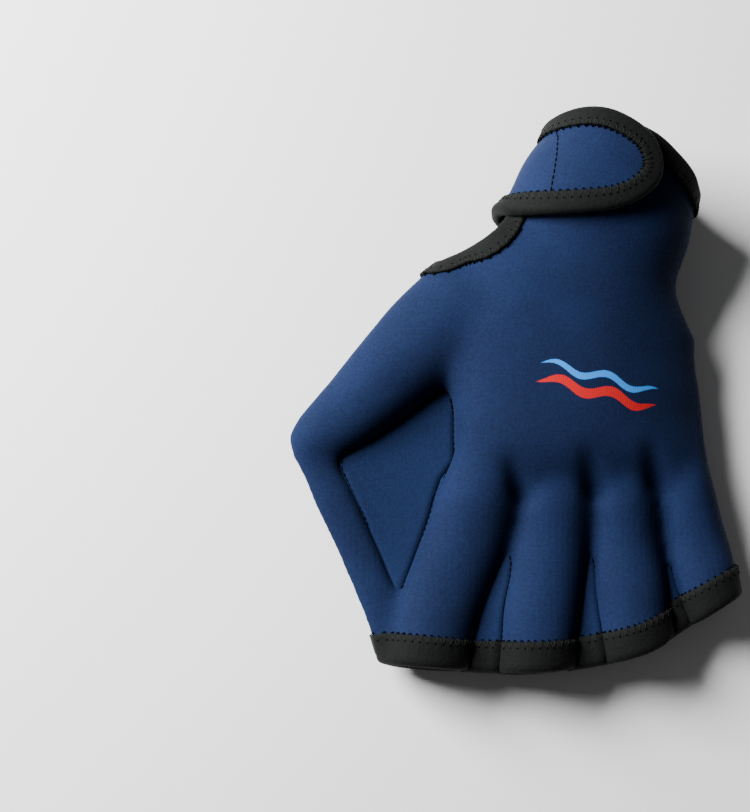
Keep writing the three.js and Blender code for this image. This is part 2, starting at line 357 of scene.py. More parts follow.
def boundaryRuns(bm, wanted=lambda v: True):
    # Ordered runs of boundary vertices, closed where the first one comes back
    edges = dict.fromkeys(e for e in bm.edges if e.is_boundary and all(wanted(v) for v in e.verts))
    runs = []
    while edges:
        first = next(iter(edges))
        edges.pop(first)
        run = list(first.verts)
        for end in (-1, 0):
            while True:
                tip = run[end]
                step = next((e for e in tip.link_edges if e in edges), None)
                if step is None:
                    break
                edges.pop(step)
                other = step.other_vert(tip)
                if end == -1:
                    run.append(other)
                else:
                    run.insert(0, other)
        closed = run[0] is run[-1]
        points = [v.co.copy() for v in run]
        runs.append((points[:-1] if closed else points, closed))
    return runs


def evenly(points, closed, spacing):
    # The same run with points a fixed distance apart
    ring = points + [points[0]] if closed else points
    lengths = [0.0]
    for a, b in zip(ring, ring[1:]):
        lengths.append(lengths[-1] + (b - a).length)
    count = max(4, round(lengths[-1] / spacing))
    made = []
    i = 0
    for k in range(count if closed else count + 1):
        want = lengths[-1] * k / count
        while i < len(lengths) - 2 and lengths[i + 1] < want:
            i += 1
        share = (want - lengths[i]) / max(lengths[i + 1] - lengths[i], 1e-9)
        made.append(ring[i].lerp(ring[i + 1], share))
    return made


def softened(points, closed, rounds):
    # The same run smoothed. Open ends stay
    for _ in range(rounds):
        last = len(points) - 1
        moved = []
        for i, point in enumerate(points):
            if not closed and i in (0, last):
                moved.append(point)
                continue
            before = points[i - 1]
            after = points[(i + 1) % len(points)]
            moved.append(point * 0.5 + (before + after) * 0.25)
        points = moved
    return points


# Materials
class Value:
    # A socket that works in sums
    def __init__(self, graph, socket):
        self.graph = graph
        self.socket = socket

    def __add__(self, other):
        return self.graph.maths("ADD", self, other)

    def __sub__(self, other):
        return self.graph.maths("SUBTRACT", self, other)

    def __mul__(self, other):
        return self.graph.maths("MULTIPLY", self, other)

    def __rsub__(self, other):
        return self.graph.maths("SUBTRACT", other, self)

    __radd__ = __add__
    __rmul__ = __mul__


class Graph:
    def __init__(self, name):
        self.material = bpy.data.materials.new(name)
        self.material.use_nodes = True
        self.tree = self.material.node_tree
        self.shader = self.tree.nodes["Principled BSDF"]

    def node(self, kind, settings=None, inputs=None, out=0):
        made = self.tree.nodes.new(kind)
        for key, value in (settings or {}).items():
            if key == "stops":
                ramp = made.color_ramp
                ramp.elements[0].position, ramp.elements[0].color = value[0]
                ramp.elements[1].position, ramp.elements[1].color = value[-1]
                for place, color in value[1:-1]:
                    ramp.elements.new(place).color = color
            else:
                setattr(made, key, value)
        for key, value in (inputs or {}).items():
            self.feed(made.inputs[key], value)
        return Value(self, made.outputs[out])

    def feed(self, socket, value):
        if isinstance(value, Value):
            self.tree.links.new(value.socket, socket)
        else:
            socket.default_value = value

    def maths(self, operation, a, b=0.0):
        return self.node("ShaderNodeMath", {"operation": operation}, {0: a, 1: b})

    def mix(self, factor, a, b):
        return self.node(
            "ShaderNodeMix", {"data_type": "RGBA"}, {"Factor": factor, "A": a, "B": b}, out=2)

    def place(self):
        return self.node("ShaderNodeTexCoord", out=3)

    def axes(self):
        # X, Y and Z on the piece
        split = self.node("ShaderNodeSeparateXYZ", None, {"Vector": self.place()})
        return [Value(self, socket) for socket in split.socket.node.outputs]

    def noise(self, scale, detail=3.0, rough=0.55, vector=None):
        return self.node("ShaderNodeTexNoise", None, {
            "Vector": vector or self.place(), "Scale": scale, "Detail": detail,
            "Roughness": rough})

    def ramp(self, value, low, high):
        return self.node("ShaderNodeMapRange", None, {
            "Value": value, "From Min": low, "From Max": high, "To Min": 0.0, "To Max": 1.0})

    def bump(self, height, distance, strength=1.0):
        return self.node("ShaderNodeBump", None, {
            "Strength": strength, "Distance": distance, "Height": height})

    def surface(self, **values):
        for key, value in values.items():
            self.feed(self.shader.inputs[key.replace("_", " ")], value)
        return self.material


def knit(graph, pitch):
    # Rows of small loops, as on jersey
    x, y, z = graph.axes()
    turn = 2 * math.pi / pitch
    wale = graph.maths("SINE", (x + z * 0.6) * turn)
    course = graph.maths("SINE", (y + z * 0.5) * (turn * 0.9))
    return (wale * 0.6 + course * 0.4) * 0.5 + 0.5


jersey = {
    "deep": (0.0015, 0.0050, 0.0220, 1.0),
    "lit": (0.0045, 0.0125, 0.0480, 1.0),
    "pitch": 0.0008,
    "loops": 0.25,
    "loopHeight": 0.00008,
    "ribPitch": 0.0024,
    "ribs": 0.2,
    "ribsFrom": -0.032,          # the ribs come in from here down to the fingers
    "ribsFull": -0.050,
    "roughness": 0.85,
}

# Two printed waves on the back of the hand
waves = {
    "centre": (0.0285, 0.0023),
    "tilt": math.radians(-12),
    "half": 0.025,
    "length": 0.021,
    "swing": 0.0016,
    "edge": 0.0001,
    "fibre": 0.0003,             # how far the cloth's grain breaks the edge
    "heights": (0.020, 0.021),   # where the print comes in, up from the floor
    "upper": {"offset": 0.0030, "width": 0.0015, "phase": 0.9, "color": (0.020, 0.200, 0.620, 1.0)},
    "lower": {"offset": -0.0032, "width": 0.0021, "phase": 0.0, "color": (0.420, 0.008, 0.010, 1.0)},
}


def printedWaves(graph, ground):
    x, y, z = graph.axes()
    x = x - waves["centre"][0]
    y = y - waves["centre"][1]
    cosine = math.cos(waves["tilt"])
    sine = math.sin(waves["tilt"])
    along = x * cosine + y * sine
    aside = y * cosine - x * sine
    taper = 1.0 - graph.maths("POWER", along * (1 / waves["half"]), 4.0)
    fibre = graph.noise(1500.0, 1.0) * waves["fibre"]
    top = graph.ramp(z, *waves["heights"])
    for ribbon in (waves["upper"], waves["lower"]):
        turn = along * (2 * math.pi / waves["length"]) + ribbon["phase"]
        line = graph.maths("SINE", turn) * waves["swing"] + ribbon["offset"]
        gap = graph.maths("ABSOLUTE", aside - line) + fibre
        mask = graph.ramp(taper * ribbon["width"] - gap, -waves["edge"], waves["edge"]) * top
        ground = graph.mix(mask, ground, ribbon["color"])
    return ground


def jerseyMaterial(name, settings, printed=False):
    graph = Graph(name)
    loops = knit(graph, settings["pitch"])
    fleck = graph.noise(900.0, 2.0)
    patch = graph.noise(22.0, 4.0)
    worn = graph.ramp(graph.noise(40.0, 2.0), 0.4, 0.7) * loops * settings["loops"]
    shade = graph.ramp(fleck * 0.7 + worn + patch * 0.35, 0.30, 0.85)
    x, y = graph.axes()[:2]
    onFingers = graph.ramp(y, settings["ribsFrom"], settings["ribsFull"])
    rib = graph.maths("SINE", x * (2 * math.pi / settings["ribPitch"])) * onFingers
    height = loops * settings["loops"] + fleck * 0.8 + rib * patch * settings["ribs"]
    color = graph.mix(shade, settings["deep"], settings["lit"])
    if printed:
        color = printedWaves(graph, color)
    return graph.surface(
        Base_Color=color,
        Roughness=settings["roughness"],
        Sheen_Weight=0.10,
        Sheen_Roughness=0.35,
        Sheen_Tint=(0.30, 0.50, 1.0, 1.0),
        Specular_IOR_Level=0.12,
        Normal=graph.bump(height, settings["loopHeight"]),
    )


tape = {
    "dark": (0.0010, 0.0015, 0.0012, 1.0),
    "worn": (0.0036, 0.0049, 0.0040, 1.0),
    "pitch": 0.0007,
    "roughness": 0.82,
    "grain": 0.00020,
    "width": 0.0098,
    "cuffWidth": 0.0070,
    "strapWidth": 0.0062,
    "insideWidth": 0.007,
    "thickness": 0.0011,
}


def tapeMaterial(name):
    graph = Graph(name)
    loops = knit(graph, tape["pitch"])
    grain = graph.noise(700.0, 3.0)
    patch = graph.noise(60.0, 3.0)
    shade = graph.ramp(grain * 0.5 + loops * 0.2 + patch * 0.4, 0.35, 0.85)
    return graph.surface(
        Base_Color=graph.mix(shade, tape["dark"], tape["worn"]),
        Roughness=tape["roughness"],
        Sheen_Weight=0.02,
        Sheen_Roughness=0.5,
        Specular_IOR_Level=0.11,
        Normal=graph.bump(loops * 0.2 + grain * 1.2 + patch * 1.2, tape["grain"]),
    )


def threadMaterial(name, color, shine):
    graph = Graph(name)
    grain = graph.noise(2500.0, 1.0)
    return graph.surface(
        Base_Color=graph.mix(grain, tuple(c * 0.6 for c in color[:3]) + (1.0,), color),
        Roughness=0.75,
        Specular_IOR_Level=shine,
        Normal=graph.bump(grain, 0.00005),
    )


jerseyFinish = jerseyMaterial("navyJersey", jersey)
shellFinish = jerseyMaterial("navyShell", jersey, printed=True)
webFinish = jerseyMaterial("navyWebKnit", dict(
    jersey, deep=(0.0014, 0.0060, 0.0260, 1.0), lit=(0.0040, 0.0130, 0.0500, 1.0),
    pitch=0.0012, loops=0.15, loopHeight=0.00012, ribs=0.0))
tapeFinish = tapeMaterial("bindingTape")
# Black for the seams' thread, and as painted shade on the zigzags' ends in the cloth and in their
# holes
blackThreadAndShade = threadMaterial("blackThreadAndShade", (0.0008, 0.0009, 0.0009, 1.0), 0.03)
greyThread = threadMaterial("greyThread", (0.0140, 0.0160, 0.0135, 1.0), 0.10)
hookFinish = tapeMaterial("hookTape")
print("materials made")

# The shell: padded tubes grown together, with soft crotches
shell = {
    "rings": 44,
    "sides": 48,
    "swell": 0.0006,
    "voxel": 0.0015,
    "relaxRounds": 14,
    "palmFrom": (-0.205, -0.62),  # along and across, where the rounds on the palm begin
    "palmRounds": 26,
    "palmFade": 0.0009,          # how much further in each next round begins
    "tip": (-0.112, -0.960),     # the thumb's tip
    "tipRounds": 24,
    "tipReach": 0.022,
    "tipFade": 0.0004,
    "lastRounds": 3,
    "lastAbove": 0.004,          # the part that rests on the floor stays as it is
    "bandRounds": 8,
    "bandBelow": -0.010,
    "slitHeight": 0.0105,
    "slitReach": 0.006,
    "far": 0.2,                  # a distance that is outside the glove
}

# Presses in the skin over each crotch. Rows: along, across, lean towards +X per length up
crotchDents = [(-0.190, -0.1045, -0.40), (-0.182, 0.189, -0.28), (-0.168, 0.450, -0.30)]
dent = {"depth": 0.0036, "width": 0.0041, "up": 0.019, "down": 0.008, "above": 0.010, "rise": 0.008}
# The back's lean towards the little finger, which fades to the fingers and to the wrist
palmLean = {
    "ridge": 0.014,
    "span": 0.046,
    "most": 1.2,
    "drop": 0.0050,
    "top": 0.034,
    "fade": 0.030,
    "fingersFrom": -0.036,
    "wristTo": 0.075,
    "wristShare": 0.5,
}
outlineFade = 0.005              # height over which a move of the outline comes in
# Where the outline is drawn out or in. Rows: along, across, reach, move in X and Y, lowest height
outlineMoves = [
    (-0.106, -0.975, 0.0085, -0.0026, -0.0006, -0.01),
    (0.480, -0.045, 0.0120, 0.0042, -0.0004, -0.01),
    (0.290, -0.200, 0.0080, -0.0040, 0.0010, 0.014),
    (0.276, 0.567, 0.0180, 0.0018, 0.0, -0.01),
    (0.202, 0.535, 0.0110, -0.0026, 0.0, -0.01),
    (0.129, 0.540, 0.0120, 0.0036, 0.0, -0.01),
    (0.037, 0.575, 0.0200, 0.0024, 0.0, -0.01),
    (-0.074, 0.605, 0.0200, 0.0020, 0.0, -0.01),
    (-0.184, 0.655, 0.0160, 0.0012, 0.0, -0.01),
    (-0.285, 0.720, 0.0140, 0.0022, 0.0, -0.01),
]


def pressed(spot):
    # How far the skin is pressed down there
    total = 0.0
    share = limited((spot.z - dent["above"]) / dent["rise"])
    for along, across, lean in crotchDents:
        off = spot - planPoint(along, across)
        fade = 1 - (off.y / (dent["up"] if off.y > 0 else dent["down"])) ** 2
        if fade > 0:
            aside = (off.x - lean * off.y) / dent["width"]
            total += dent["depth"] * math.exp(-aside * aside) * fade * fade * share
    outward = limited((spot.x - palmLean["ridge"]) / palmLean["span"], high=palmLean["most"])
    lower = limited((spot.y - palmLean["fingersFrom"]) / palmLean["fade"])
    upper = limited((palmLean["wristTo"] - spot.y) / palmLean["fade"], palmLean["wristShare"])
    drop = palmLean["drop"] * outward * outward * lower * lower * (3 - 2 * lower) * upper
    return total + drop * max(0.0, spot.z / palmLean["top"])


def tubesGrown():
    rough = bmesh.new()
    for tube in allTubes:
        last = len(tube["rows"]) - 1
        verts = gridSheet(rough, shell["rings"], shell["sides"], lambda u, v: tubePoint(
            tube, u * last, -v * 2 * math.pi, shell["swell"]))
        bmesh.ops.remove_doubles(rough, verts=verts, dist=1e-6)
    ends = [e for e in rough.edges if e.is_boundary]
    bmesh.ops.holes_fill(rough, edges=ends, sides=0)
    bmesh.ops.recalc_face_normals(rough, faces=rough.faces)
    return remeshed(rough, shell["voxel"])


def relaxWhere(bm, wanted, rounds, upright=True):
    relax(bm, [v for v in bm.verts if wanted(v.co)], rounds, upright)


def shapeSkin(bm):
    # Softens the tubes' joins, then moves the outline and presses in the dents
    relax(bm, bm.verts, shell["relaxRounds"])
    start = planPoint(*shell["palmFrom"])
    for k in range(shell["palmRounds"]):
        reach = k * shell["palmFade"]
        relaxWhere(bm, lambda c: c.y > start.y + reach and c.x > start.x + reach, 1)
    tip = planPoint(*shell["tip"])
    for k in range(shell["tipRounds"]):
        near = shell["tipReach"] - shell["tipFade"] * k
        relaxWhere(bm, lambda c: (c - tip).xy.length < near, 1)
    moves = [(planPoint(r[0], r[1]), r[2], Vector((r[3], r[4], 0.0)), r[5]) for r in outlineMoves]
    for v in bm.verts:
        for centre, reach, move, lowest in moves:
            share = limited((v.co.z - lowest) / outlineFade)
            v.co += move * share * math.exp(-((v.co - centre).xy.length / reach) ** 2)
        v.co.z = max(v.co.z - pressed(v.co), 0.0)
    relaxWhere(bm, lambda c: c.z > shell["lastAbove"], shell["lastRounds"])
    relaxWhere(bm, lambda c: c.x < start.x and c.y < shell["bandBelow"], shell["bandRounds"], False)


def beyondArea(line, *corners):
    # The outline in plan of what an edge line cuts off
    return line + [Vector((x, y, 0.0)) for x, y in corners]


far = shell["far"]
fingertipLine = edgeLine("fingertips")
cuffLine = edgeLine("cuff")
slitLine = edgeLine("slit")
fingertipArea = beyondArea(
    fingertipLine, (far, fingertipLine[-1].y), (far, -far), (-far, -far), (-far, fingertipLine[0].y))
cuffArea = beyondArea(cuffLine, (cuffLine[-1].x, far), (far, far), (far, cuffLine[0].y))
slitArea = beyondArea(slitLine, (-far, slitLine[-1].y), (-far, far), (slitLine[0].x, far))

skin = tubesGrown()
shapeSkin(skin)
wholeTree = BVHTree.FromBMesh(skin)
cutAlong(skin, fingertipLine)
cutAlong(skin, cuffLine)
cutAlong(skin, slitLine, shell["slitHeight"])
slitFloor = [f for f in skin.faces if withinPlan(f.calc_center_median(), slitArea)
             and abs(f.calc_center_median().z - shell["slitHeight"]) < shell["slitReach"]]
planeCut(skin, slitFloor, (0, 0, shell["slitHeight"]), (0, 0, 1))
dropped(skin, lambda c: withinPlan(c, fingertipArea) or withinPlan(c, cuffArea) or (
    c.z > shell["slitHeight"] and withinPlan(c, slitArea)))
skin.normal_update()
skinTree = BVHTree.FromBMesh(skin)
edgeRuns = boundaryRuns(skin)
print("shell cut, open edges:", [(len(p), c) for p, c in edgeRuns])
shellPiece = meshPiece("shell", skin, "neoprene", shellFinish, "back_panel", "palm_panel")
solidified(shellPiece, glove["wall"], -1.0)


# The webs: panels between the flanks, higher on the side where the seam shows
web = {
    "tuck": -0.0013,
    "thickness": 0.003,
    "sag": 0.0006,
    "sagSpan": 0.03,             # narrower webs sag less
    "dip": 0.0013,               # how deep the seams pull the web down
    "dipWidth": 0.0012,
    "hidden": 0.0020,            # the width at each side that is under the skin
    "onEdge": 0.0002,
}


def chained(parts, share, grow):
    # Follows several flanks in turn. Parts: length share, tube, side, from, to, first and last height
    want = share * sum(p[0] for p in parts)
    for size, tube, side, t0, t1, low, high in parts:
        if want <= size or tube is parts[-1][1]:
            part = min(want / size, 1.0)
            return flankPoint(tube, t0 + (t1 - t0) * part, side, low + (high - low) * part, grow)
        want -= size


def webPoint(left, right, u, v):
    # u runs from the left flank to the right one, v from the palm to the fingertips
    a = chained(left, v, web["tuck"])
    b = chained(right, v, web["tuck"])
    width = (b - a).length
    point = a.lerp(b, u)
    point.z -= web["sag"] * 4 * u * (1 - u) * min(1.0, width / web["sagSpan"])
    for off in (u * width, (1 - u) * width):
        point.z -= web["dip"] * math.exp(-((off - web["hidden"]) / web["dipWidth"]) ** 2)
    return point


def webSheet(left, right, uSteps, vSteps):
    bm = bmesh.new()
    gridSheet(bm, uSteps, vSteps, lambda u, v: webPoint(left, right, u, v))
    bmesh.ops.recalc_face_normals(bm, faces=bm.faces)
    if sum(f.normal.z for f in bm.faces) < 0:
        bmesh.ops.reverse_faces(bm, faces=bm.faces)
    return bm


# Each web: CAD node, steps across and along, flanks at its left and at its right
webPaths = {
    "indexMiddle": (
        "finger_web_index_middle", (20, 70),
        [(1, indexFinger, 1, 1.0, 5.9, 0.0100, 0.0155)],
        [(1, middleFinger, -1, 1.0, 5.9, 0.0130, 0.0180)]),
    "middleRing": (
        "finger_web_middle_ring", (20, 70),
        [(1, middleFinger, 1, 1.0, 5.9, 0.0100, 0.0155)],
        [(1, ringFinger, -1, 1.0, 4.9, 0.0130, 0.0180)]),
    "ringLittle": (
        "finger_web_ring_little", (16, 60),
        [(1, ringFinger, 1, 0.9, 4.6, 0.0100, 0.0150)],
        [(1, littleFinger, -1, 0.9, 4.9, 0.0125, 0.0165)]),
    "thumbWeb": (
        "thumb_web", (64, 80),
        [(0.95, thumb, 1, 2.55, 5.2, 0.0108, 0.0110), (1.30, band, 1, 0.7, 5.2, 0.0110, 0.0112)],
        [(0.55, palm, -1, 6.8, 8.4, 0.0120, 0.0132),
         (1.30, indexFinger, -1, 1.0, 4.6, 0.0132, 0.0140)]),
}
webTrees = {}
webRuns = {}
for name, (node, steps, left, right) in webPaths.items():
    panel = webSheet(left, right, *steps)
    cutAlong(panel, fingertipLine)
    dropped(panel, lambda c: withinPlan(c, fingertipArea))
    panel.normal_update()
    webTrees[name] = BVHTree.FromBMesh(panel)
    webRuns[name] = boundaryRuns(panel, lambda v: lineGap(v.co, fingertipLine) < web["onEdge"])
    piece = meshPiece(name, panel, "web_knit", webFinish, node)
    solidified(piece, web["thickness"], 0.0)
print("webs made")

# The strap: from the palm side round the thumb side and over the back of the wrist
strap = {
    "inside": 0.0019,            # height of its inner face over the skin
    "thickness": 0.0030,
    "rootHeight": 0.009,
    "rootGap": 0.0001,           # edges closer than this to the root get no tape
    "from": 0.15,                # in rows of the palm's tube
    "to": 4.7,
    "turns": (math.radians(20), math.radians(232)),  # angles round that tube
    "steps": (110, 86),
    "puff": 0.0014,
    "puffAt": 1.7,
    "puffSpan": 0.9,
    "relaxRounds": 4,
    "tapeUnder": -0.0006,        # height of the tape's lower leaf over the strap's inner face
}
strapLine = edgeLine("strap", 60)


def strapSheet():
    bm = bmesh.new()
    start, stop = strap["turns"]

    def place(u, v):
        t = strap["from"] + (strap["to"] - strap["from"]) * v
        spot = tubePoint(palm, t, start + (stop - start) * u, strap["inside"])
        near, facing = wholeTree.find_nearest(spot)[:2]
        puff = strap["puff"] * math.exp(-((t - strap["puffAt"]) / strap["puffSpan"]) ** 2)
        return near + facing * (strap["inside"] + puff)

    verts = gridSheet(bm, *strap["steps"], place)
    relax(bm, verts, strap["relaxRounds"])
    cutAlong(bm, strapLine)
    planeCut(bm, bm.faces, (0, 0, strap["rootHeight"]), (0, 0, 1))
    dropped(bm, lambda c: not withinPlan(c, strapLine) or c.z < strap["rootHeight"])
    bmesh.ops.recalc_face_normals(bm, faces=bm.faces)
    if sum(f.normal.z for f in bm.faces) < 0:
        bmesh.ops.reverse_faces(bm, faces=bm.faces)
    return bm


strapMesh = strapSheet()
strapTree = BVHTree.FromBMesh(strapMesh)
strapRuns = boundaryRuns(strapMesh, lambda v: v.co.z > strap["rootHeight"] + strap["rootGap"])
print("strap edges:", [(len(p), c) for p, c in strapRuns])
strapPiece = meshPiece("strapPad", strapMesh, "neoprene", jerseyFinish, "strap")
solidified(strapPiece, strap["thickness"], 1.0)

# Tape folded over the open edges
tapeFold = {
    "spacing": 0.0013,
    "rounds": 2,                 # of smoothing on the edge that it follows
    "topSteps": 6,
    "foldSteps": 6,
    "underSteps": 4,
    "lift": 0.00085,
    "reach": 0.7,                # how far the fold stands off the edge, as a share of its radius
    "ripple": 0.00018,
    "ripplePitch": 0.0038,
    "sway": 1.5,                 # how much more the ripple moves the leaf's edge sideways
    "flatFrom": 0.9,             # share of the leaf's width past which it doesn't lift
    "probe": 0.004,
    "shortest": 8,               # points in a run that is worth a tape
}


def edgeStations(run, closed, tree, spacing):
    # Stations along an open edge: the point, the surface's normal and the way in from the edge
    points = softened(evenly(run, closed, spacing), closed, tapeFold["rounds"])
    count = len(points)
    stations = []
    for i, point in enumerate(points):
        before = points[i - 1] if closed or i > 0 else points[0]
        after = points[(i + 1) % count] if closed or i < count - 1 else points[-1]
        normal = tree.find_nearest(point)[1]
        inward = (after - before).normalized().cross(normal).normalized()
        probe = inward * tapeFold["probe"]
        if tree.find_nearest(point + probe)[3] > tree.find_nearest(point - probe)[3]:
            inward = -inward
        stations.append((point, normal, inward))
    return stations


def onLeaf(tree, station, distance, height):
    # A point on a leaf of tape, that far in from the edge
    point, normal, inward = station
    near, facing = tree.find_nearest(point + inward * distance)[:2]
    return near + facing * height


def foldedTape(bm, run, closed, tree, width, insideWidth, above, below):
    # above and below are the heights of its two leaves over the surface
    stations = edgeStations(run, closed, tree, tapeFold["spacing"])
    count = len(stations)
    waveCount = round(count * tapeFold["spacing"] / tapeFold["ripplePitch"])
    top, fold, under = (tapeFold[key] for key in ("topSteps", "foldSteps", "underSteps"))
    profile = [("top", width * (1 - k / top)) for k in range(top + 1)]
    profile += [("fold", math.pi * k / fold) for k in range(1, fold)]
    profile += [("under", insideWidth * k / under) for k in range(under + 1)]
    middle = (above + below) / 2
    radius = (above - below) / 2

    def place(u, v):
        i = round(u * (count if closed else count - 1))
        kind, amount = profile[round(v * (len(profile) - 1))]
        station = stations[i % count]
        if kind == "fold":
            point, normal, inward = station
            out = -inward * radius * tapeFold["reach"] * math.sin(amount)
            return point + normal * (middle + radius * math.cos(amount)) + out
        wave = math.sin(2 * math.pi * i * waveCount / count)
        share = amount / width
        ripple = tapeFold["ripple"] * wave * share if kind == "top" else 0.0
        height = above if kind == "top" else below
        lifted = ripple if share < tapeFold["flatFrom"] else 0.0
        return onLeaf(tree, station, amount + ripple * tapeFold["sway"], height + lifted)

    verts = gridSheet(bm, count if closed else count - 1, len(profile) - 1, place)
    if closed:
        bmesh.ops.remove_doubles(bm, verts=verts, dist=1e-6)


def tapePiece(name, bm, node):
    bmesh.ops.recalc_face_normals(bm, faces=bm.faces)
    piece = meshPiece(name, bm, "binding_tape", tapeFinish, node)
    solidified(piece, tape["thickness"], 0.0)


def runsWhere(runs, wanted=lambda centre: True):
    return [(run, closed) for run, closed in runs
            if len(run) > tapeFold["shortest"] and wanted(sum(run, Vector()) / len(run))]


wallBelow = -glove["wall"] - tapeFold["lift"]
mouthRuns = runsWhere(edgeRuns, lambda c: c.y < 0)
cuffRuns = runsWhere(edgeRuns, lambda c: c.y > 0)
fingertipMesh = bmesh.new()
for run, closed in mouthRuns:
    foldedTape(fingertipMesh, run, closed, skinTree, tape["width"], tape["insideWidth"],
               tapeFold["lift"], wallBelow)
webLeaf = web["thickness"] / 2 + tapeFold["lift"]
for name, runs in webRuns.items():
    for run, closed in runsWhere(runs):
        foldedTape(fingertipMesh, run, closed, webTrees[name], tape["width"], tape["width"],
                   webLeaf, -webLeaf)
tapePiece("fingertipTape", fingertipMesh, "fingertip_binding")
cuffMesh = bmesh.new()
for run, closed in cuffRuns:
    foldedTape(cuffMesh, run, closed, skinTree, tape["cuffWidth"], tape["insideWidth"],
               tapeFold["lift"], wallBelow)
tapePiece("cuffTape", cuffMesh, "cuff_binding")
strapTapeMesh = bmesh.new()
strapTop = strap["thickness"] + tapeFold["lift"]
for run, closed in strapRuns:
    foldedTape(strapTapeMesh, run, closed, strapTree, tape["strapWidth"], tape["strapWidth"],
               strapTop, strap["tapeUnder"])
tapePiece("strapTape", strapTapeMesh, "strap_binding")
print("tapes made")

# Hook patch under the end of the strap
closure = {
    "along": 0.394,
    "across": 0.200,
    "length": 0.030,
    "width": 0.014,
    "steps": (24, 12),
    "lift": 0.0002,
    "thickness": 0.0007,
}


def closureSheet():
    bm = bmesh.new()
    centre = planPoint(closure["along"], closure["across"])

    def place(u, v):
        off = Vector(((u - 0.5) * closure["length"], (v - 0.5) * closure["width"], 0.0))
        hit, facing = fromAbove(skinTree, centre + off)
        return hit + facing * closure["lift"]

    gridSheet(bm, *closure["steps"], place)
    bmesh.ops.recalc_face_normals(bm, faces=bm.faces)
    return bm


closurePiece = meshPiece("hookPatch", closureSheet(), "hook_tape", hookFinish, "strap_closure")
solidified(closurePiece, closure["thickness"], 1.0)

# Stitches: zigzags over the tapes' inner edges, and rows of short stitches along the seams. The
# zigzags' ends in the cloth and the holes at their inner tips are black, as painted shade
thread = {
    "radius": 0.00016,
    "tickRadius": 0.00025,       # of the zigzag's ends in the cloth, black as painted shade
    "zigPitch": 0.0028,
    "over": 0.0009,              # how far the zigzag reaches over the tape's edge
    "within": 0.0024,
    "dentRadius": 0.00034,       # of the black balls in the holes at the inner tips, as painted shade
    "dentHalf": 0.00025,
    "rise": 0.3,                 # of the zigzag over the tape, as a share of its radius
    "roundEnd": 0.6,
    "seamRadius": 0.00032,
    "seamLength": 0.0017,
    "seamGap": 0.0007,
    "seamLift": 0.0002,
    "seamShift": 0.0006,         # of the seams at a web's left, out of the skin's shadow
    "seamSteps": 80,
    "seamRounds": 6,
    "probes": 60,                # rays from the middle of a web to its side
}
# Black balls for the seams' thread and for painted shade at the zigzags; grey balls for the zigzags'
# thread on the tapes
blackStitchesAndShade = {"corners": [], "faces": []}
greyStitches = {"corners": [], "faces": []}


def stitchBall():
    # A small ball's corners and faces. The faces come in no fixed order, so they are sorted
    ball = bmesh.new()
    bmesh.ops.create_uvsphere(ball, u_segments=7, v_segments=6, radius=1.0)
    ball.verts.index_update()
    corners = [v.co.copy() for v in ball.verts]
    faces = []
    for face in ball.faces:
        ring = [v.index for v in face.verts]
        first = ring.index(min(ring))
        faces.append(ring[first:] + ring[:first])
    ball.free()
    return corners, sorted(faces)


ballCorners, ballFaces = stitchBall()


def stitch(made, a, b, radius):
    # A ball drawn out from a to b
    run = b - a
    shape = run.to_track_quat("Z", "Y").to_matrix() @ Matrix.Diagonal(
        (radius, radius, run.length / 2 + radius * thread["roundEnd"]))
    first = len(made["corners"])
    middle = (a + b) / 2
    made["corners"] += [shape @ corner + middle for corner in ballCorners]
    made["faces"] += [[first + i for i in face] for face in ballFaces]


def stitchPiece(name, made, finish):
    mesh = bpy.data.meshes.new(name + "Balls")
    mesh.from_pydata(made["corners"], [], made["faces"])
    bm = bmesh.new()
    bm.from_mesh(mesh)
    bpy.data.meshes.remove(mesh)
    meshPiece(name, bm, "binding_tape", finish)


def zigzag(run, closed, tree, width, base, top):
    # base and top are the heights of the cloth and of the tape's face over the surface
    tips = []
    for i, station in enumerate(edgeStations(run, closed, tree, thread["zigPitch"] / 2)):
        if i % 2 == 0:
            tips.append(onLeaf(tree, station, width + thread["over"], base))
        else:
            tips.append(onLeaf(tree, station, width - thread["within"], top))
    pairs = list(zip(tips, tips[1:])) + ([(tips[-1], tips[0])] if closed else [])
    for i, (a, b) in enumerate(pairs):
        low, high = (a, b) if i % 2 == 0 else (b, a)
        edge = low.lerp(high, thread["over"] / (thread["over"] + thread["within"]))
        near, facing = tree.find_nearest(edge)[:2]
        edge = near + facing * (top + thread["radius"] * thread["rise"])
        # The part over the cloth is black, as painted shade; on the tape the thread keeps its grey
        stitch(blackStitchesAndShade, low, edge, thread["tickRadius"])
        stitch(greyStitches, edge, high, thread["radius"])
        # A black ball in the hole at the inner tip, as painted shade
        if i % 2 == 0:
            half = (high - low).normalized() * thread["dentHalf"]
            stitch(blackStitchesAndShade, high - half, high + half, thread["dentRadius"])


def seamRow(points):
    step = thread["seamLength"] + thread["seamGap"]
    spots = evenly(points, False, step)
    for a, b in zip(spots, spots[1:]):
        stitch(blackStitchesAndShade, a, a.lerp(b, thread["seamLength"] / step), thread["seamRadius"])


tapeTop = tapeFold["lift"] + tape["thickness"] / 2
for run, closed in mouthRuns:
    zigzag(run, closed, skinTree, tape["width"], 0.0, tapeTop)
for name, runs in webRuns.items():
    half = web["thickness"] / 2
    for run, closed in runsWhere(runs):
        zigzag(run, closed, webTrees[name], tape["width"], half, half + tapeTop)
for run, closed in cuffRuns:
    zigzag(run, closed, skinTree, tape["cuffWidth"], 0.0, tapeTop)
for run, closed in strapRuns:
    zigzag(run, closed, strapTree, tape["strapWidth"], strap["thickness"],
           strap["thickness"] + tapeTop)


def seamPoint(left, right, side, v):
    # Where a web goes under the skin, from its middle to one side
    spot = None
    for k in range(thread["probes"] + 1):
        u = 0.5 + side * k / thread["probes"] / 2
        point = webPoint(left, right, u, v) + Vector((0, 0, web["thickness"] / 2))
        hit = fromAbove(skinTree, point)[0]
        if hit and hit.z > point.z:
            return spot
        spot = point
    return spot


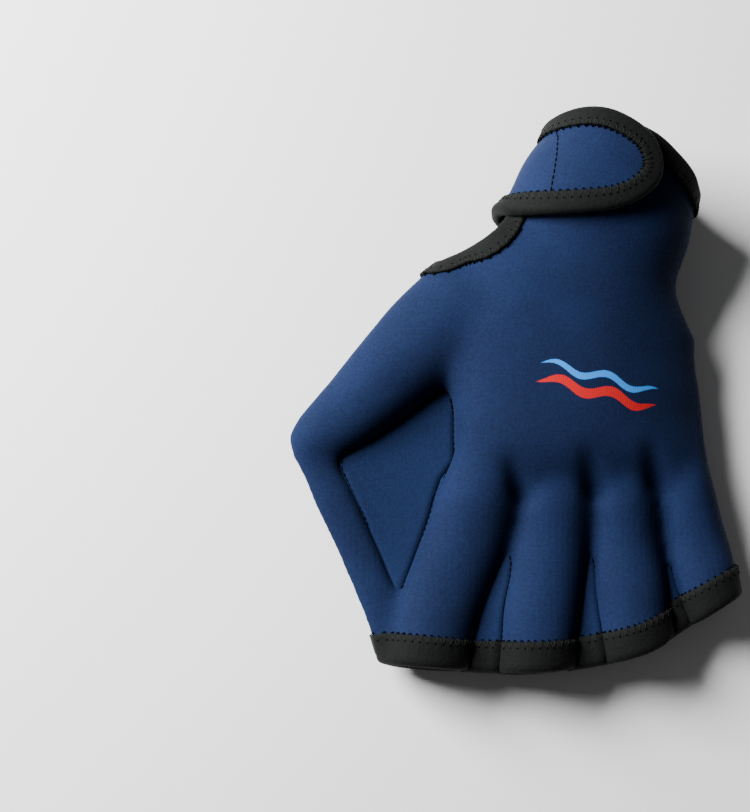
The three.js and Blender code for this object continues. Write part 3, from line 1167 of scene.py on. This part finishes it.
# The seams that show: web, side of it, and the share of its length from start to end
seamSides = [
    ("indexMiddle", 1, 0.10, 0.97),
    ("middleRing", 1, 0.10, 0.97),
    ("ringLittle", 1, 0.10, 0.97),
    ("thumbWeb", -1, 0.40, 0.99),
    ("thumbWeb", 1, 0.02, 0.99),
]
for name, side, start, stop in seamSides:
    left, right = webPaths[name][2:]
    shift = Vector((thread["seamShift"] if side < 0 else 0.0, 0, thread["seamLift"]))
    points = []
    for k in range(thread["seamSteps"] + 1):
        spot = seamPoint(left, right, side, start + (stop - start) * k / thread["seamSteps"])
        if spot and not withinPlan(spot, fingertipArea):
            points.append(spot + shift)
    seamRow(softened(points, False, thread["seamRounds"]))

# The row across the strap, where the hook patch is sewn on
patchRow = {"from": (0.482, 0.048), "to": (0.345, -0.012), "steps": 49, "lift": 0.0001}
patchPoints = []
for k in range(patchRow["steps"] + 1):
    spot = planPoint(*patchRow["from"]).lerp(planPoint(*patchRow["to"]), k / patchRow["steps"])
    hit, facing = fromAbove(strapTree, spot)
    if hit:
        patchPoints.append(hit + facing * (strap["thickness"] + patchRow["lift"]))
seamRow(patchPoints)
# The black piece holds the seams' thread and the painted shade at the zigzags
stitchPiece("blackStitching", blackStitchesAndShade, blackThreadAndShade)
stitchPiece("greyStitching", greyStitches, greyThread)
print("stitches made")

# Floor, light and camera
stage = {
    "aim": Vector((-0.0561, -0.0048, 0.012)),
    "tilt": (8.0, 8.0),          # degrees that the camera leans to the thumb and to the fingertips
    "lens": 100.0,
    "sensor": 36.0,
    "metresPerPixel": 0.00039,
    "photo": (750, 812),
    "floor": (0.86, 0.86, 0.86, 1.0),
    "floorSize": 3.0,
    "keyPlace": Vector((-0.70, 0.36, 0.50)),
    "keySize": 0.5,
    "keyWatts": 43.0,
    "world": 0.08,
}


def makeFloor():
    bm = bmesh.new()
    bmesh.ops.create_grid(bm, x_segments=1, y_segments=1, size=stage["floorSize"])
    floor = meshObject("floor", bm)
    floor.data.materials.append(Graph("paleFloor").surface(
        Base_Color=stage["floor"], Roughness=0.9, Specular_IOR_Level=0.1))


def makeCamera():
    # As far off as the lens needs for the photo's scale at the aim point
    distance = stage["lens"] * stage["photo"][1] * stage["metresPerPixel"] / stage["sensor"]
    leanX, leanY = (math.tan(math.radians(a)) for a in stage["tilt"])
    back = Vector((-leanX, -leanY, 1.0)).normalized()
    up = (Vector((0, 1, 0)) - back * back.y).normalized()
    data = bpy.data.cameras.new("camera")
    data.lens = stage["lens"]
    data.sensor_width = stage["sensor"]
    camera = bpy.data.objects.new("camera", data)
    bpy.context.collection.objects.link(camera)
    camera.matrix_world = Matrix.Translation(stage["aim"] + back * distance) @ Matrix(
        (up.cross(back), up, back)).transposed().to_4x4()
    bpy.context.scene.camera = camera


def makeLight():
    light = bpy.data.lights.new("keyLight", "AREA")
    light.shape = "SQUARE"
    light.size = stage["keySize"]
    light.energy = stage["keyWatts"]
    lamp = bpy.data.objects.new("keyLight", light)
    bpy.context.collection.objects.link(lamp)
    lamp.location = stage["keyPlace"]
    lamp.rotation_mode = "QUATERNION"
    lamp.rotation_quaternion = stage["keyPlace"].to_track_quat("Z", "Y")


def makeWorld():
    world = bpy.data.worlds.new("studio")
    world.use_nodes = True
    sky = world.node_tree.nodes["Background"]
    sky.inputs["Color"].default_value = (1.0, 1.0, 1.0, 1.0)
    sky.inputs["Strength"].default_value = stage["world"]
    bpy.context.scene.world = world


makeFloor()
makeCamera()
makeLight()
makeWorld()
print("stage set")
